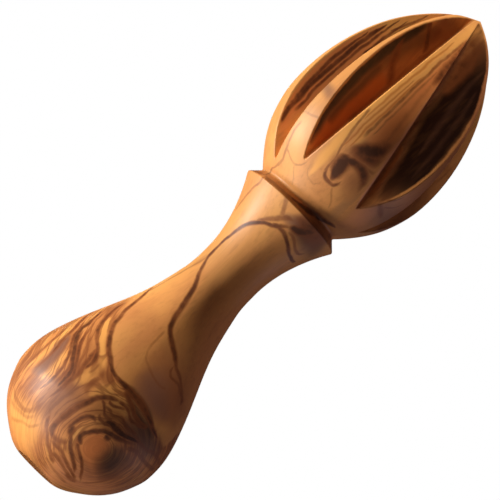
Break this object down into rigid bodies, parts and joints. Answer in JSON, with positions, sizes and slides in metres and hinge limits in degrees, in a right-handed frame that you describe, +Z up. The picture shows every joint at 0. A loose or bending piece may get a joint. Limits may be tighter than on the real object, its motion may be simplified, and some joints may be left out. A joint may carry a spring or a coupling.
{
  "type": "citrus reamer",
  "caption": "One-piece turned wooden hand reamer: bulb handle that fits the palm, slim waist, flared collar and pointed fluted head for twisting in half a citrus fruit.",
  "frame": {"origin": "middle of the small flat at the bottom of the bulb handle, where the tool stands", "axes": "+Z up the turning axis to the point of the head, -Y towards the side with the broad flute 36 degrees to its +X side"},
  "size_m": [0.0445, 0.0446, 0.155],
  "materials": {
    "wood": "oiled olive wood, satin, orange-tan with dark brown veins"
  },
  "bodies": {
    "root": {"reamer": "wood"}
  },
  "joints": []
}
